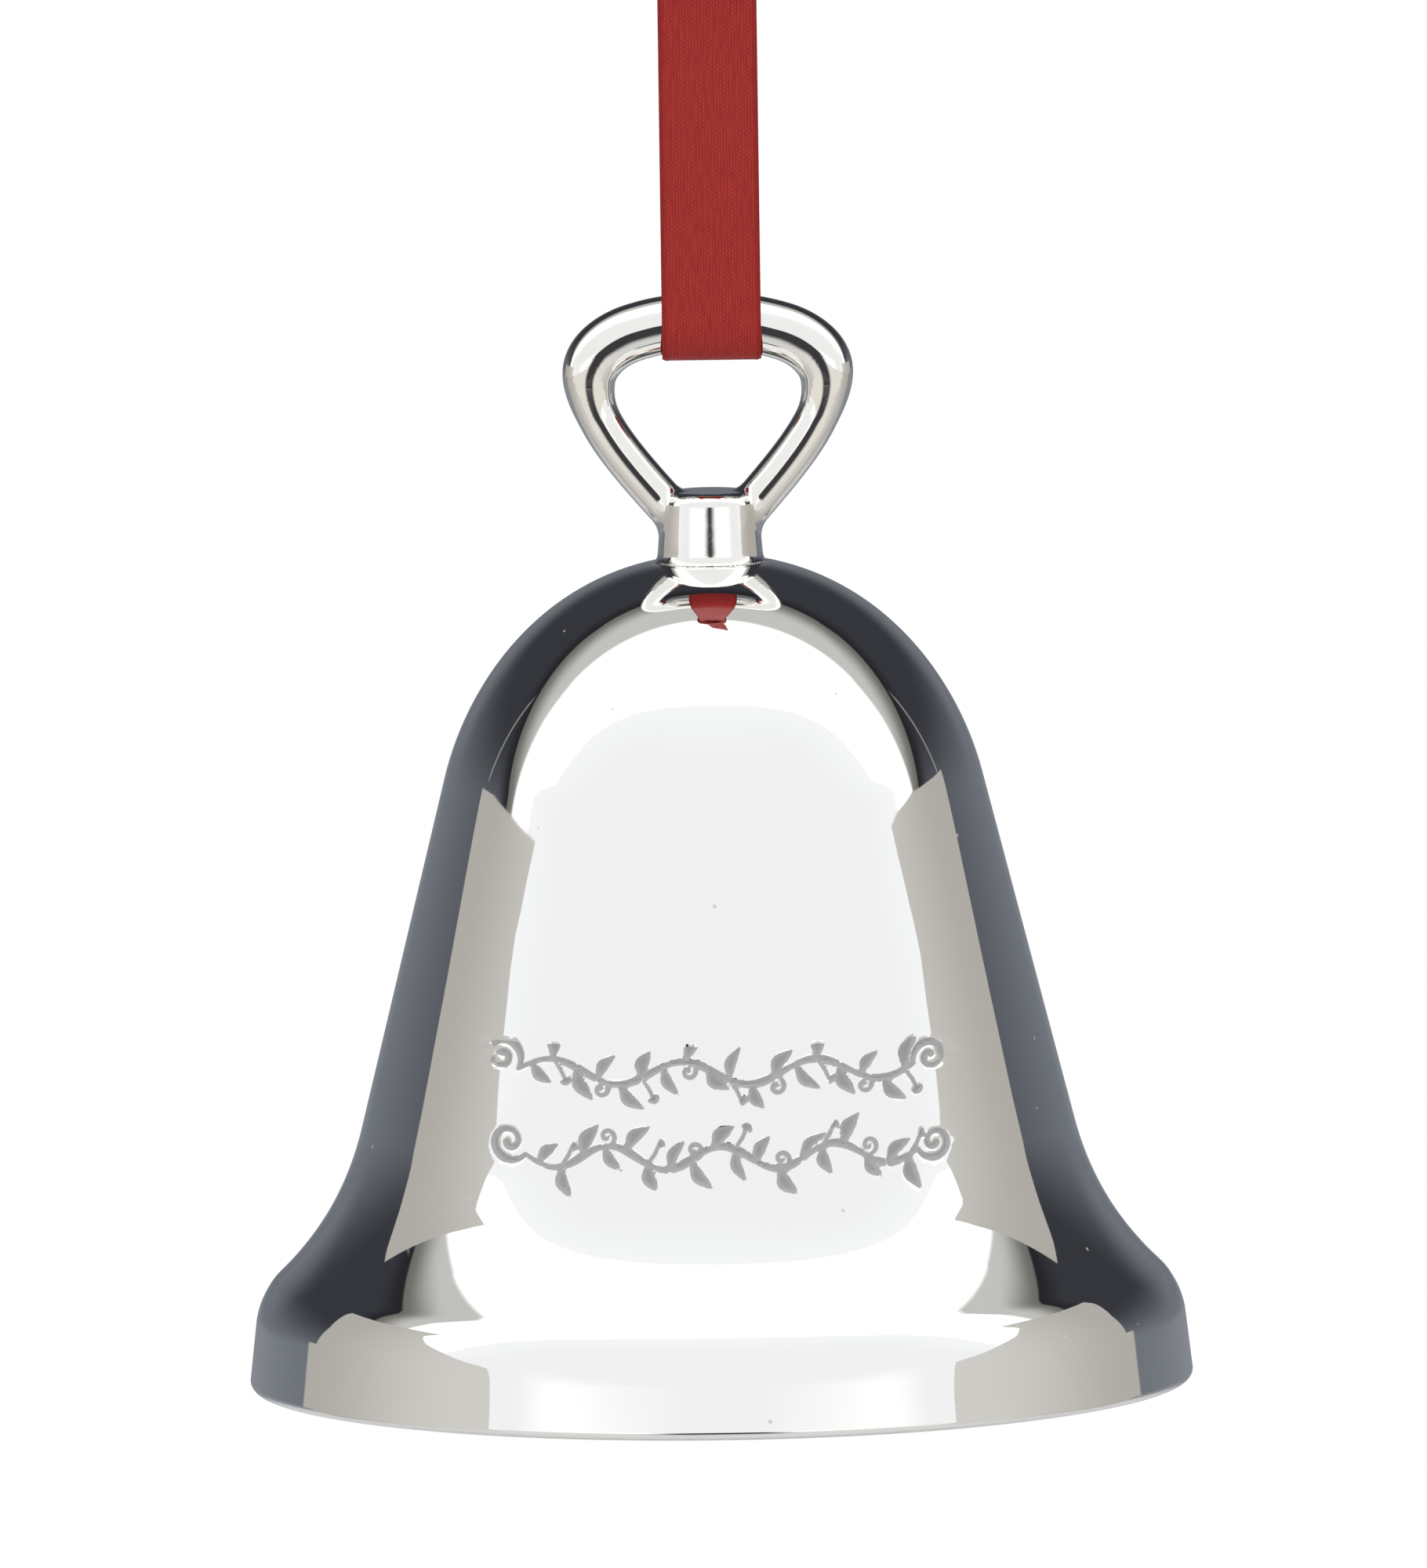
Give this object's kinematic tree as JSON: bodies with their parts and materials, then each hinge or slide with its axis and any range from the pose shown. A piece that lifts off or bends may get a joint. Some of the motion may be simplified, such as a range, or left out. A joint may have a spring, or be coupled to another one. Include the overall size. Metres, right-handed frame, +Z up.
{
  "type": "christmas bell ornament",
  "caption": "Flared metal bell on a cast loop handle, with a ball clapper on a wire link, hung from a knotted ribbon loop.",
  "frame": {"origin": "hanging point: middle of the knot's flat underside, where a hook passes between the two runs of ribbon", "axes": "+Z up along the bell's axis, -Y towards the front, +X to the right seen from the front"},
  "size_m": [0.062, 0.062, 0.1108],
  "materials": {
    "bell_metal": "bright silver plate, mirror polished",
    "handle_metal": "bright silver plate over a casting",
    "fastener_steel": "nickel-plated steel",
    "washer_brass": "plain brass, slightly dull",
    "clapper_steel": "drawn steel wire",
    "clapper_brass": "turned brass, slightly tarnished",
    "ribbon_fabric": "woven red ribbon, close ribs, plain selvedges"
  },
  "bodies": {
    "hanger": {"ribbon_knot": "ribbon_fabric", "ribbon_tails": "ribbon_fabric"},
    "ribbon": {"ribbon_loop": "ribbon_fabric"},
    "bell": {"bell_shell": "bell_metal", "handle": "handle_metal", "eye_bolt": "fastener_steel", "crown_washer": "washer_brass", "lock_nut": "fastener_steel"},
    "link": {"clapper_link": "fastener_steel"},
    "clapper": {"clapper_rod": "clapper_steel", "clapper_ball": "clapper_brass"}
  },
  "joints": [
    {"name": "ribbon_twist", "type": "hinge", "parent": "hanger", "child": "ribbon", "pos_m": [0, 0, 0], "axis": [0, 0, 1], "range_deg": [-90, 90], "stiffness_Nm_per_rad": 0.0001},
    {"name": "bell_swing", "type": "hinge", "parent": "ribbon", "child": "bell", "pos_m": [0, 0, -0.0245], "axis": [1, 0, 0], "range_deg": [-60, 60]},
    {"name": "link_swing", "type": "hinge", "parent": "bell", "child": "link", "pos_m": [0, 0, -0.04732], "axis": [1, 0, 0], "range_deg": [-26, 26]},
    {"name": "clapper_sway", "type": "hinge", "parent": "link", "child": "clapper", "pos_m": [0, 0, -0.05092], "axis": [0, 1, 0], "range_deg": [-10, 10]}
  ]
}
